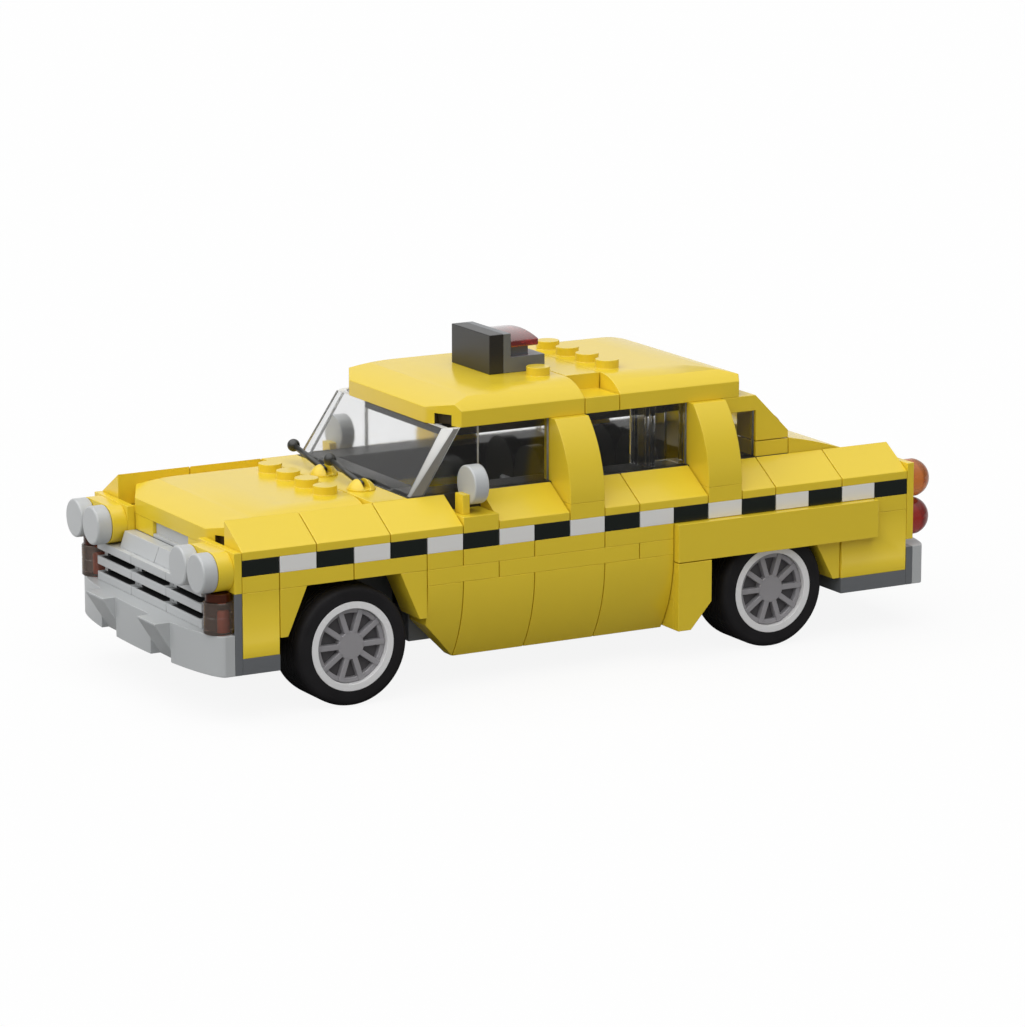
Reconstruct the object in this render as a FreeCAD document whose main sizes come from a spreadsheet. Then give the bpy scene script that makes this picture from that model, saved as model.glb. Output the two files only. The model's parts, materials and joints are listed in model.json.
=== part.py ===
import FreeCAD, Part
import math
import os
import re

# Toy brick-built taxi. Millimetres, +X forward, +Y left, +Z up.
# Along the car, places are counted in studs back from the front end of the checked stripe.
# Upwards, they are counted in plates from the underside of the base.

doc = FreeCAD.newDocument("toy_taxi")
V = FreeCAD.Vector

SIZES = [
    ("pitch", 8.0, "stud to stud"),
    ("plate", 3.2, "height of one plate"),
    ("play", 0.1, "each piece is this much short of its cell, on each side"),
    ("stud_radius", 2.4, "stud"),
    ("stud_rise", 1.7, "stud above its plate"),
    ("thin", 1.6, "wall of a bracket, lip of a slope"),
    ("tyre_radius", 12.0, "tyre"),
    ("tyre_width", 12.0, "tyre across"),
    ("tyre_shoulder", 1.6, "bevel of the tyre's edges"),
    ("tyre_wall", 3.1, "tyre from its tread to the rim"),
    ("tyre_room", 1.4, "gap between the tyre and the plates above it"),
    ("wheel_gap", 1.0, "least gap between a tyre and the wedges round it"),
    ("rim_lip", 1.4, "pale ring round the dish"),
    ("rim_wall", 1.2, "inner walls of the rim"),
    ("rim_inset", 0.5, "rim short of the tyre's inner face"),
    ("dish_depth", 2.6, "depth of the dish in the rim"),
    ("cover_thick", 1.8, "thickness of the spoked cover"),
    ("cover_fit", 0.1, "cover short of the dish all round"),
    ("hub_radius", 3.1, "flat hub of the spoked cover"),
    ("spoke_width", 1.15, "one spoke"),
    ("cover_ring", 0.9, "ring round the spokes"),
    ("pin_radius", 2.4, "axle pin"),
    ("pin_fit", 0.05, "running fit round the axle pin"),
    ("pin_end", 0.4, "room past the end of the axle pin"),
    ("wheel_face", 31.2, "outer face of the tyre from the middle of the car"),
    ("cheek", 1.6, "side cheek that carries an axle pin"),
    ("wedge_reach", 5.8, "wheel opening's wedge, lengthwise at the top"),
    ("wedge_toe", 1.6, "the same at the bottom"),
    ("panel_wall", 2.0, "rear side panel"),
    ("panel_proud", 1.6, "rear side panel beyond the body side"),
    ("column_drop", 14.0, "rear side panel's column below its strip"),
    ("column_cut_long", 4.8, "cut corner of that column, lengthwise"),
    ("column_cut_tall", 5.4, "the same, upwards"),
    ("door_tuck", 4.8, "how far the door panels curve in at the bottom"),
    ("glass", 1.2, "clear wall"),
    ("glass_inset", 0.6, "side windows in from the edge of the roof"),
    ("dome_run", 16.0, "curved stretch at the front of the bonnet and roof"),
    ("corner_cut", 4.0, "cut corner of the bonnet and roof, lengthwise"),
    ("notch_wide", 4.0, "notch in the skirt of each cut corner"),
    ("notch_tall", 2.2, "the same, upwards"),
    ("notch_deep", 1.4, "the same, inwards"),
    ("screen_lean", 8.2, "how far the top of the windscreen leans back"),
    ("rear_lean", 8.0, "the same for the rear window"),
    ("rear_glass_in", 1.4, "foot of the rear window ahead of the boot lid"),
    ("pillar_wall", 3.2, "pillar across, at the windows"),
    ("pillar_lean", 6.4, "how far a pillar curves in at the top"),
    ("pillar_bulge", 1.5, "how far it bulges over a straight lean"),
    ("bumper_bow", 5.2, "bow of the bumper at the middle"),
    ("guard_proud", 2.6, "bumper guard beyond the bumper"),
    ("guard_lean", 4.8, "how far a guard leans back at its foot"),
    ("guard_edge", 0.4, "upright front edge of a guard"),
    ("lamp_thick", 3.2, "head lamp disc"),
    ("indicator_radius", 3.0, "round indicator"),
    ("indicator_room", 0.4, "bracket's opening beyond the indicator"),
    ("slot_tall", 1.4, "slots of the grille, upwards"),
    ("slot_deep", 2.6, "the same, inwards"),
    ("grille_edge", 1.5, "web at each end of a slot"),
    ("web_inset", 1.6, "that web behind the bars"),
    ("cap_reach", 3.5, "piece over the grille, ahead of the nose"),
    ("cap_lean", 1.1, "how far that piece leans back"),
    ("ledge", 0.7, "ledge of the grey nose strip"),
    ("tail_straight", 2.4, "straight part of a tail lamp"),
    ("tail_dome", 3.2, "dome of a tail lamp"),
    ("mirror_thick", 3.2, "mirror disc"),
    ("mirror_rise", 5.5, "middle of the mirror above its plate"),
    ("holder_inset", 1.1, "upright that holds the mirror, behind its plate's front"),
    ("holder_thick", 1.6, "that upright, lengthwise"),
    ("holder_width", 3.2, "the same, across"),
    ("holder_rise", 3.9, "the same, upwards"),
    ("wiper_knob", 2.9, "radius of the split knob that holds a wiper lever"),
    ("wiper_dome", 2.2, "height of that knob"),
    ("wiper_floor", 0.4, "knob below its slot"),
    ("wiper_slot", 1.4, "width of that slot"),
    ("wiper_rod", 0.6, "radius of a wiper lever"),
    ("wiper_ball", 1.3, "radius of the ball on a wiper lever"),
    ("wiper_reach", 13.4, "wiper lever from its pivot to its ball"),
    ("wiper_rise", 2.4, "how far the ball is above the pivot"),
    ("boot_bulge", 0.9, "how far the boot lid bulges over a straight slope"),
    ("seat_long", 15.0, "seat, front to back"),
    ("seat_back", 3.0, "thickness of a seat's back"),
    ("cushion", 9.0, "height of a seat's cushion"),
    ("seat_tall", 20.0, "seat, floor to the start of its rounded top"),
    ("dash_long", 6.0, "dashboard, front to back"),
    ("steering_radius", 3.7, "steering wheel"),
    ("steering_rod", 0.6, "rim of the steering wheel"),
    ("steering_reach", 26.6, "steering wheel behind the dashboard"),
    ("steering_rise", 0.1, "steering wheel's middle above the foot of its column"),
    ("steering_tilt", 24.0, "lean of the steering wheel, in degrees"),
    ("lamp_foot", 1.9, "dark block under the roof lamp"),
    ("lamp_long", 6.4, "roof lamp, lengthwise"),
    ("lamp_side", 1.4, "upright sides of the roof lamp"),
    ("lamp_crown", 1.1, "how far the roof lamp's top bulges"),
]

# Worked out in the sheet from the sizes above
RESULTS = [
    ("axle_rise", "=5 * plate - tyre_room - tyre_radius", "axle above the base's underside"),
    ("ride", "=tyre_radius - axle_rise", "underside of the base above the ground"),
    ("rim_radius", "=tyre_radius - tyre_wall", "rim's outside"),
    ("rim_hollow", "=rim_radius - rim_lip", "radius of the dish in the rim"),
]

sheet = doc.addObject("Spreadsheet::Sheet", "Sizes")
for row, (alias, value, note) in enumerate(SIZES + RESULTS, start=1):
    sheet.set("A%d" % row, note)
    sheet.set("B%d" % row, str(value))
    sheet.setAlias("B%d" % row, alias)
doc.recompute()

ALIASES = {alias for alias, value, note in SIZES + RESULTS}
size = {alias: float(sheet.get(alias)) for alias in ALIASES}
pitch = size["pitch"]
plate = size["plate"]
play = size["play"]
ride = size["ride"]
thin = size["thin"]

# Places along the car: each is so many studs behind another, and the first is the stripe's front end
place_shares = (
    ("bonnet_seam", "front", 2),
    ("arch", "front", 1),
    ("axle", "arch", 2),
    ("arch_end", "axle", 2),
    ("screen", "arch_end", 0),
    ("cowl", "screen", -1),
    ("bonnet_studs", "cowl", -0.5),
    ("wipers", "cowl", 0.5),
    ("mirror", "screen", 1),
    ("roof", "screen", 1),
    ("liner", "roof", 0.5),
    ("wing", "mirror", 1),
    ("door_seam", "mirror", 2),
    ("middle", "roof", 4),
    ("sign", "middle", -1),
    ("roof_studs", "middle", -0.5),
    ("rear_arch", "arch_end", 8),
    ("column", "rear_arch", -1),
    ("rear_axle", "rear_arch", 2),
    ("rear_arch_end", "rear_axle", 2),
    ("strip_end", "rear_arch_end", 1),
    ("body", "strip_end", 1),
    ("deck", "body", -3),
    ("roof_end", "deck", -1),
    ("quarter", "roof_end", -1),
    ("pillar", "quarter", -1),
    ("roof_back", "roof_end", -4),
    ("back_studs", "roof_back", 0.5),
)
stud_shares = {"front": 0}
for name, other, behind in place_shares:
    stud_shares[name] = stud_shares[other] + behind

# Heights, in plates above the base's underside
plate_shares = {
    "under": 0,
    "base": 1,
    "floor": 2,
    "sill": 4,
    "belt": 5,
    "stripe": 6,
    "shoulder": 7,
    "saddle": 8,
    "ridge": 9,
    "lid": 10,
    "pane_top": 12,
    "roof_base": 13,
    "roof_lip": 14,
    "roof_top": 15,
    "sign_foot": 16,
}
# Half widths, in studs
HALF = 4
INNER = 3
AISLE = 2


def back(place):
    """A named place along the car, or so many studs back."""
    return -stud_shares.get(place, place) * pitch


def up(level):
    """A named height, or so many plates up."""
    return ride + plate_shares.get(level, level) * plate


def back_text(place):
    return "(-%g * pitch)" % stud_shares.get(place, place)


def up_text(level):
    return "(ride + %g * plate)" % plate_shares.get(level, level)


def bound(text):
    """The expression with each size's alias pointed at the sheet."""
    return re.sub(r"[a-z_]+", lambda word: ("Sizes." if word.group() in ALIASES else "") + word.group(), text)


NOSE_REACH = "(2 * thin + bumper_bow + guard_proud)"
TAIL_REACH = "(%g * pitch + 2 * thin + bumper_bow)" % stud_shares["body"]
SHIFT = bound("(%s - %s) / 2" % (TAIL_REACH, NOSE_REACH))
# The body's side, and the inner face of the rear side panels
SIDE = HALF * pitch - play
PANEL_INNER = HALF * pitch + size["panel_proud"] - size["panel_wall"]


# Building blocks bound to the sheet
def block(x, y, z, name="Block"):
    """A box between two texts on each axis."""
    box = doc.addObject("Part::Box", name)
    for side, base, (low, high) in (("Length", "x", x), ("Width", "y", y), ("Height", "z", z)):
        box.setExpression(side, bound("(%s) - (%s)" % (high, low)))
        box.setExpression("Placement.Base." + base, bound(low))
    return box


def cell(front, rear, right, left, low, high, name="Brick"):
    """A brick that fills whole cells of the grid, less the play at its sides."""
    x = (back_text(rear) + " + play", back_text(front) + " - play")
    y = ("%g * pitch + play" % right, "%g * pitch - play" % left)
    return block(x, y, (up_text(low), up_text(high)), name)


def both_sides(front, rear, low, high, inner=INNER, outer=HALF):
    return [cell(front, rear, inner, outer, low, high), cell(front, rear, -outer, -inner, low, high)]


def drum(x, y, z, radius, height, axis="z", name="Drum"):
    """A cylinder that starts at a place and runs along an axis."""
    turn = {"x": (V(0, 1, 0), 90), "y": (V(1, 0, 0), -90), "z": (V(0, 0, 1), 0)}[axis]
    rod = doc.addObject("Part::Cylinder", name)
    rod.Placement.Rotation = FreeCAD.Rotation(*turn)
    rod.setExpression("Radius", bound(radius))
    rod.setExpression("Height", bound(height))
    for base, place in (("x", x), ("y", y), ("z", z)):
        rod.setExpression("Placement.Base." + base, bound(place))
    return rod


# A row of studs, in studs to the left, and the two outer ones
row_shares = (-1.5, -0.5, 0.5, 1.5)
outer_shares = (-1.5, 1.5)


def studs(place, level, across=row_shares):
    """Studs side by side on one row."""
    made = []
    for left in across:
        y = "%g * pitch" % left
        made.append(drum(back_text(place), y, up_text(level), "stud_radius", "stud_rise", name="Stud"))
    return made


def fused(pieces, name="Joined"):
    join = doc.addObject("Part::MultiFuse", name)
    join.Shapes = pieces
    join.Refine = True
    return join


def cut(base, tool, name="Cut"):
    result = doc.addObject("Part::Cut", name)
    result.Base = base
    result.Tool = tool
    result.Refine = True
    return result


def form(shape, name="Form"):
    """A form that no primitive gives, built from the sheet's sizes."""
    piece = doc.addObject("Part::Feature", name)
    piece.Shape = shape
    return piece


# Outlines, drawn on a plane and pushed along the third axis
PLANES = {
    "xz": (lambda point: V(point[0], 0, point[1]), V(0, 1, 0)),
    "yz": (lambda point: V(0, point[0], point[1]), V(1, 0, 0)),
    "xy": (lambda point: V(point[0], point[1], 0), V(0, 0, 1)),
}


def outline_curves(outline, place):
    """Points in order, with ("arc", through, end) for a round stretch."""
    curves = []
    start = outline[0]
    for step in list(outline[1:]) + [outline[0]]:
        if step[0] == "arc":
            curves.append(Part.Arc(place(start), place(step[1]), place(step[2])))
            start = step[2]
        elif start != step:
            curves.append(Part.LineSegment(place(start), place(step)))
            start = step
    return curves


def prism(plane, outline, low, high):
    place, push = PLANES[plane]
    shape = Part.Face(Part.Wire([curve.toShape() for curve in outline_curves(outline, place)]))
    shape.translate(push * low)
    return shape.extrude(push * (high - low))


def box_shape(x0, x1, y0, y1, z0, z1):
    return Part.makeBox(x1 - x0, y1 - y0, z1 - z0, V(x0, y0, z0))


def left_and_right(shapes, name):
    """Each form twice, on the left and mirrored on the right."""
    return [form(shape, name) for given in shapes for shape in (given, given.mirror(V(0, 0, 0), V(0, 1, 0)))]


def node(label, pieces):
    """One named sub-part, moved so that the middle of the car's length is at x = 0."""
    group = doc.addObject("Part::Compound", label)
    group.Label = label
    group.Links = pieces
    group.setExpression("Placement.Base.x", SHIFT)
    return group


# Base and axles
def base_plate():
    """The dark base: wide ends, narrow between the wheels, raised under the cabin."""
    pieces = []
    for front, rear, half, tall in (
        ("front", "arch", HALF, "base"),
        ("arch", "arch_end", AISLE, "base"),
        ("arch_end", "rear_arch", INNER, "floor"),
        ("rear_arch", "rear_arch_end", AISLE, "base"),
        ("rear_arch_end", "body", HALF, "base"),
    ):
        x = (back_text(rear), back_text(front))
        y = ("-%g * pitch + play" % half, "%g * pitch - play" % half)
        pieces.append(block(x, y, (up_text(0), up_text(tall)), "Base"))
    return node("base_plate", [fused(pieces)])


def axle_carrier(front, axle, rear):
    """A brick over the base whose cheeks hold a fixed pin on each side."""
    x = (back_text(rear), back_text(front))
    side = "(%g * pitch + cheek)" % AISLE
    inside = (x[0] + " + play", x[1] + " - play")
    body = block(inside, ("-" + side, side), (up_text(0), up_text("belt")), "Carrier")
    seat = block(x, ("-%g * pitch" % AISLE, "%g * pitch" % AISLE), (up_text(0), up_text("base")), "Seat")
    reach = "(wheel_face - dish_depth - rim_wall - pin_end)"
    pin = drum(back_text(axle), "-" + reach, "tyre_radius", "pin_radius", "2 * " + reach, "y", "Pin")
    middle = block(x, ("-" + side, side), (up_text(0), up_text("belt")), "Middle")
    return fused([cut(body, seat), cut(pin, middle)])


def axle_carriers():
    front = axle_carrier("arch", "axle", "arch_end")
    rear = axle_carrier("rear_arch", "rear_axle", "rear_arch_end")
    return node("axle_carriers", [front, rear])


# Wheels: outlines run from the axis outwards, with the wheel's outer face at zero
def tyre_outline():
    r = size["tyre_radius"]
    w = size["tyre_width"]
    q = size["tyre_shoulder"]
    # The bevel has two faces, between them a point of the circle that it stands for
    bend = q * (1 - math.sqrt(0.5))
    return [
        (size["rim_radius"], 0),
        (r - q, 0),
        (r - bend, -bend),
        (r, -q),
        (r, q - w),
        (r - bend, bend - w),
        (r - q, -w),
        (size["rim_radius"], -w),
    ]


def rim_outline():
    web = -size["dish_depth"] - size["rim_wall"]
    inner = size["rim_inset"] - size["tyre_width"]
    barrel = size["rim_radius"] - size["rim_wall"]
    bore = size["pin_radius"] + size["pin_fit"]
    return [
        (0, -size["dish_depth"]),
        (size["rim_hollow"], -size["dish_depth"]),
        (size["rim_hollow"], 0),
        (size["rim_radius"], 0),
        (size["rim_radius"], inner),
        (barrel, inner),
        (barrel, web - size["rim_wall"]),
        (bore + size["rim_wall"], web - size["rim_wall"]),
        (bore + size["rim_wall"], inner),
        (bore, inner),
        (bore, web),
        (0, web),
    ]


def sketched(body, name, role, curves):
    sketch = body.newObject("Sketcher::SketchObject", name)
    plane = [item for item in body.Origin.OriginFeatures if item.Role == role][0]
    sketch.AttachmentSupport = [(plane, "")]
    sketch.MapMode = "FlatFace"
    for curve in curves:
        sketch.addGeometry(curve, False)
    return sketch


def flat(point):
    return V(point[0], point[1], 0)


def turned(name, outline):
    """A body turned round the wheel's axis."""
    body = doc.addObject("PartDesign::Body", name)
    sketch = sketched(body, name + "Profile", "XY_Plane", outline_curves(outline, flat))
    turn = body.newObject("PartDesign::Revolution", name + "Turn")
    turn.Profile = sketch
    turn.ReferenceAxis = (sketch, ["V_Axis"])
    turn.Angle = 360
    body.Tip = turn
    return body


SPOKES = 10


def wheel_cover():
    """A disc with a flat hub and spokes with open gaps between them."""
    body = doc.addObject("PartDesign::Body", "Cover")
    outer = size["rim_hollow"] - size["cover_fit"]
    circle = sketched(body, "DiscSketch", "XZ_Plane", [Part.Circle(V(0, 0, 0), V(0, 0, 1), outer)])
    disc = body.newObject("PartDesign::Pad", "Disc")
    disc.Profile = circle
    disc.setExpression("Length", bound("cover_thick"))
    doc.recompute()
    gap = math.pi / SPOKES
    far = outer - size["cover_ring"]
    near = size["hub_radius"]

    def corner(radius, side):
        angle = side * (gap - math.asin(size["spoke_width"] / (2 * radius)))
        return (radius * math.sin(angle), radius * math.cos(angle))

    window = [
        corner(near, -1),
        corner(far, -1),
        ("arc", (0, far), corner(far, 1)),
        corner(near, 1),
        ("arc", (0, near), corner(near, -1)),
    ]
    hole = body.newObject("PartDesign::Pocket", "Window")
    hole.Profile = sketched(body, "WindowSketch", "XZ_Plane", outline_curves(window, flat))
    hole.Type = "ThroughAll"
    hole.Reversed = True
    doc.recompute()
    pattern = body.newObject("PartDesign::PolarPattern", "Windows")
    pattern.Originals = [hole]
    pattern.Axis = (circle, ["N_Axis"])
    pattern.Angle = 360
    pattern.Occurrences = SPOKES
    body.Tip = pattern
    return body


def wheels():
    """Tyre, rim and cover at each corner, from one body of each."""
    parts = (
        ("tyre", turned("Tyre", tyre_outline()), "0"),
        ("rim", turned("Rim", rim_outline()), "0"),
        ("cover", wheel_cover(), "(dish_depth - cover_thick)"),
    )
    made = []
    for corner, axle, side in (
        ("front_left", "axle", 1),
        ("front_right", "axle", -1),
        ("rear_left", "rear_axle", 1),
        ("rear_right", "rear_axle", -1),
    ):
        for part, body, sunk in parts:
            group = doc.addObject("Part::Compound", part + "_" + corner)
            group.Label = part + "_" + corner
            group.Links = [body]
            group.Placement.Rotation = FreeCAD.Rotation(V(0, 0, 1), 90 - 90 * side)
            group.setExpression("Placement.Base.x", bound(back_text(axle)) + " + " + SHIFT)
            group.setExpression("Placement.Base.y", bound("%d * (wheel_face - %s)" % (side, sunk)))
            group.setExpression("Placement.Base.z", bound("tyre_radius"))
            made.append(group)
    return made


def end_to_end(*marks):
    """Spans of pieces that meet at the marks."""
    return list(zip(marks, marks[1:]))


# Lower body: spans of the pieces in each row
DOORS = end_to_end("arch_end", "mirror", "door_seam", "middle", "column")
SILLS = end_to_end("arch_end", "wing", "roof_back", "column")
BELT = end_to_end("front", "arch", "axle", "arch_end") + DOORS + end_to_end("strip_end", "body")


def cabin_walls():
    """Dark inner bricks behind the doors."""
    return node("cabin_walls", both_sides("arch_end", "rear_arch", "floor", "belt", AISLE, INNER))


def door_panels():
    """Four panels a side that curve in towards the bottom, the first with a cut corner."""
    top = up("sill")
    foot = top - 2 * pitch
    tuck = size["door_tuck"]
    radius = (top - foot) ** 2 / (2 * tuck) + tuck / 2
    angle = math.asin((top - foot) / radius) / 2
    through = (SIDE - radius * (1 - math.cos(angle)), top - radius * math.sin(angle))
    inner = INNER * pitch + play
    profile = [(inner, top), (SIDE, top), ("arc", through, (SIDE - tuck, foot)), (inner, foot)]
    panels = []
    for front, rear in DOORS:
        panel = prism("yz", profile, back(rear) + play, back(front) - play)
        if (front, rear) == DOORS[0]:
            corner = [(back(front), foot + pitch), (back(front), foot), (back(rear) + play, foot)]
            panel = panel.cut(prism("xz", corner, 0, HALF * pitch))
        panels.append(panel)
    return node("door_panels", left_and_right(panels, "Door"))


def sill_plates():
    pieces = []
    for front, rear in SILLS:
        pieces += both_sides(front, rear, "sill", "belt")
    return node("sill_plates", pieces)


def lower_corners():
    """A plate and a brick ahead of the front wheels, and more round the rear ones."""
    pieces = both_sides("front", "arch", "base", "floor") + both_sides("front", "arch", "floor", "belt")
    inner = INNER * pitch + play
    seam = up("stripe") - pitch
    x = (back("rear_arch") + play, back("column") - play)
    column = box_shape(x[0], x[1], inner, PANEL_INNER, up("base"), up("belt"))
    x = (back("body") + play, back("rear_arch_end") - play)
    slab = box_shape(x[0], x[1], inner, SIDE, up("base"), up("floor"))
    brick = box_shape(x[0], x[1], inner, SIDE, up("floor"), up("belt"))
    rebate = box_shape(back("strip_end"), back("rear_arch_end"), PANEL_INNER, HALF * pitch, seam, up("belt"))
    return node("lower_corners", pieces + left_and_right([column, slab, brick.cut(rebate)], "Corner"))


def wheel_space(axle):
    """What the tyre and the gap round it take up, through the whole car."""
    half = HALF * pitch
    place = V(back(axle), -half, size["tyre_radius"])
    return Part.makeCylinder(size["tyre_radius"] + size["wheel_gap"], 2 * half, place, V(0, 1, 0))


def arch_wedges():
    """Sloped pieces that shape the wheel openings."""
    inner = INNER * pitch + play
    reach = size["wedge_reach"]
    toe = size["wedge_toe"]
    made = []
    for corner, way in (("arch", -1), ("arch_end", 1)):
        start = back(corner) + way * play
        low = up("floor")
        top = up("belt")
        outline = [(start, top), (start + way * reach, top), (start + way * toe, low), (start, low)]
        made.append(prism("xz", outline, inner, SIDE).cut(wheel_space("axle")))
    start = back("rear_arch_end") + play
    seam = up("stripe") - pitch
    outline = [
        (start, up("belt")),
        (start + reach, up("belt")),
        (start + reach, seam),
        (start + toe, up("base")),
        (start, up("base")),
    ]
    made.append(prism("xz", outline, inner, PANEL_INNER - play).cut(wheel_space("rear_axle")))
    return node("arch_wedges", left_and_right(made, "Wedge"))


def belt_plates():
    """The plain row under the checks, in the plates that show."""
    pieces = []
    for front, rear in BELT:
        pieces += both_sides(front, rear, "belt", "stripe", AISLE, HALF)
    # Behind the rear side panel the plate stops at the panel's inner face
    x = (back("strip_end") + play, back("column") - play)
    behind = box_shape(x[0], x[1], AISLE * pitch + play, PANEL_INNER, up("belt"), up("stripe"))
    return node("belt_plates", pieces + left_and_right([behind], "Behind"))


def rear_panels():
    """The long smooth panel over the rear wheel and the column ahead of it."""
    outer = PANEL_INNER + size["panel_wall"]
    seam = up("stripe") - pitch
    front = back("column") - play
    rear = back("rear_arch") + play
    strip = box_shape(back("strip_end") + play, front, PANEL_INNER, outer, seam + play, up("stripe") - play)
    foot = seam - size["column_drop"]
    column = prism("xz", [
        (front, seam - play),
        (front, foot),
        (rear + size["column_cut_long"], foot),
        (rear, foot + size["column_cut_tall"]),
        (rear, seam - play),
    ], PANEL_INNER, outer)
    return node("rear_panels", left_and_right([strip, column], "Panel"))


# Checks and the row behind them
def checks():
    """Dark and pale tiles in turn, dark at both ends."""
    black = []
    white = []
    for place in range(round(stud_shares["body"])):
        (white if place % 2 else black).extend(both_sides(place, place + 1, "stripe", "shoulder"))
    return [node("checks_black", black), node("checks_white", white)]


def upper_plates():
    """The plates level with the checks: nose, both sides of the cabin and tail."""
    notch = block(
        (back_text("arch") + " - play", "play"),
        ("-pitch", "pitch"),
        (up_text("stripe"), up_text("shoulder")),
        "Notch",
    )
    nose = cut(cell("front", "screen", -INNER, INNER, "stripe", "shoulder"), notch)
    sides = both_sides("screen", "deck", "stripe", "shoulder", AISLE, INNER)
    tail = cell("deck", "body", -INNER, INNER, "stripe", "shoulder")
    return node("upper_plates", [nose] + sides + [tail])


# Spans of the slopes and of the flat plates between them, and of the pillars
PILLARS = end_to_end("sign", "middle") + end_to_end("pillar", "quarter")
PANES = end_to_end("wing", "sign") + end_to_end("middle", "pillar")
FLATS = end_to_end("mirror", "wing") + PILLARS
SLOPES = end_to_end("front", "bonnet_seam", "cowl", "mirror") + end_to_end("wing", "sign")
SLOPES += end_to_end("middle", "roof_back", "pillar")
SLOPES += end_to_end("quarter", "roof_end", "rear_arch_end", "body")


def fender_slopes():
    """Slopes along both sides, with flat plates under the mirrors and pillars."""
    inner = INNER * pitch + play
    low = up("shoulder")
    outline = [(inner, low), (SIDE, low), (SIDE, low + thin), (inner, up("ridge"))]
    slopes = []
    for front, rear in SLOPES:
        slopes.append(prism("yz", outline, back(rear) + play, back(front) - play))
    flats = []
    for front, rear in FLATS:
        flats += both_sides(front, rear, "shoulder", "saddle")
    return node("fender_slopes", left_and_right(slopes, "Slope") + flats)


# Bonnet, roof and boot
def quarter_ellipse(centre, along, over):
    """From the end of the longer axis to the end of the shorter one."""
    return Part.ArcOfEllipse(Part.Ellipse(centre + along, centre + over, centre), 0, math.pi / 2).toShape()


def level_arc(centre, along, over):
    """A round arc from the end of one axis up to the end of the other, where it is level."""
    run = along.Length
    rise = over.Length
    radius = (run * run + rise * rise) / (2 * rise)
    turn = math.asin(run / radius) / 2
    out = radius * math.sin(turn) / run
    drop = radius * (1 - math.cos(turn)) / rise
    return Part.Arc(centre + along, centre + along * out + over * (1 - drop), centre + over).toShape()


def closed_face(edges, points):
    """A face bounded by edges in order and then by straight lines through the points."""
    lines = [Part.LineSegment(a, b).toShape() for a, b in zip(points, points[1:])]
    return Part.Face(Part.Wire(edges + lines))


def domed_panel(front, base, way):
    """Cut front corners, a front that curves down to its lip, and rounded sides."""
    run = size["dome_run"]
    length = 4 * pitch - play
    half = INNER * pitch - play
    corner = size["corner_cut"]
    low = up(base)
    lip = low + plate
    top = lip + plate
    plan = [
        (0, -AISLE * pitch),
        (0, AISLE * pitch),
        (-corner, half),
        (-length, half),
        (-length, -half),
        (-corner, -half),
    ]
    over = V(0, 0, top - lip)
    nose = level_arc(V(-run, 0, lip), V(run, 0, 0), over)
    outline = [V(-run, 0, top), V(-length, 0, top), V(-length, 0, low), V(0, 0, low), V(0, 0, lip)]
    lengthwise = closed_face([nose], outline)
    lengthwise.translate(V(0, -half, 0))
    left = level_arc(V(0, half - pitch, lip), V(0, pitch, 0), over)
    right = left.mirror(V(0, 0, 0), V(0, 1, 0))
    ridge = Part.LineSegment(V(0, half - pitch, top), V(0, pitch - half, top)).toShape()
    outline = [V(0, -half, lip), V(0, -half, low), V(0, half, low), V(0, half, lip)]
    crosswise = closed_face([left, ridge, right], outline)
    shape = prism("xy", plan, low, top)
    shape = shape.common(lengthwise.extrude(V(0, 2 * half, 0)))
    shape = shape.common(crosswise.extrude(V(-length, 0, 0)))
    # A notch in the skirt of each cut corner
    side = V(-corner, half - AISLE * pitch, 0)
    along = side * (size["notch_wide"] / (2 * side.Length))
    deep = V(-along.y, along.x, 0) * (2 * size["notch_deep"] / size["notch_wide"])
    middle = V(0, AISLE * pitch, low) + side / 2
    points = [middle - along - deep, middle + along - deep, middle + along + deep, middle - along + deep]
    notch = Part.Face(Part.makePolygon(points + [points[0]])).extrude(V(0, 0, size["notch_tall"]))
    shape = shape.cut(notch).cut(notch.mirror(V(0, 0, 0), V(0, 1, 0)))
    if way < 0:
        shape = shape.mirror(V(0, 0, 0), V(1, 0, 0))
    shape.translate(V(back(front), 0, 0))
    return form(shape, "Dome")


def bonnet():
    return node("bonnet", [fused([domed_panel("front", "shoulder", 1)] + studs("bonnet_studs", "ridge"))])


def cowl():
    return node("cowl", [cell("cowl", "screen", -INNER, INNER, "shoulder", "ridge")])


def roof():
    """Two domed pieces and a lower piece between them; the sign's foot covers two of the front studs."""
    front = [domed_panel("roof", "roof_base", 1)] + studs("roof_studs", "roof_top", outer_shares)
    rear = [domed_panel("roof_end", "roof_base", -1)] + studs("back_studs", "roof_top")
    low = cell("middle", "roof_back", -INNER, INNER, "roof_base", "roof_lip")
    high = cell("middle", "roof_back", -AISLE, AISLE, "roof_lip", "roof_top")
    return [
        node("roof_front", [fused(front)]),
        node("roof_middle", [fused([low, high])]),
        node("roof_rear", [fused(rear)]),
    ]


def boot_lid():
    half = INNER * pitch - play
    front = back("deck") - play
    rear = back("body") + play
    low = up("shoulder")
    middle = ((front + rear) / 2, (up("lid") + low + thin) / 2 + size["boot_bulge"])
    outline = [(rear, low), (front, low), (front, up("lid")), ("arc", middle, (rear, low + thin))]
    return node("boot_lid", [form(prism("xz", outline, -half, half), "Lid")])


def end_walls():
    """The bricks at both ends of the car, between the corners."""
    made = []
    for label, front, rear in (("front_wall", "front", "arch"), ("tail_block", "rear_arch_end", "body")):
        low = cell(front, rear, -INNER, INNER, "base", "belt")
        high = cell(front, rear, -AISLE, AISLE, "belt", "stripe")
        made.append(node(label, [fused([low, high])]))
    return made


# Cabin
def cabin_sills():
    """The dark row under the windows and the shelf under the rear window."""
    sides = both_sides("screen", "deck", "shoulder", "ridge", AISLE, INNER)
    return node("cabin_sills", sides + [cell("quarter", "deck", -AISLE, AISLE, "shoulder", "ridge")])


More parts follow.
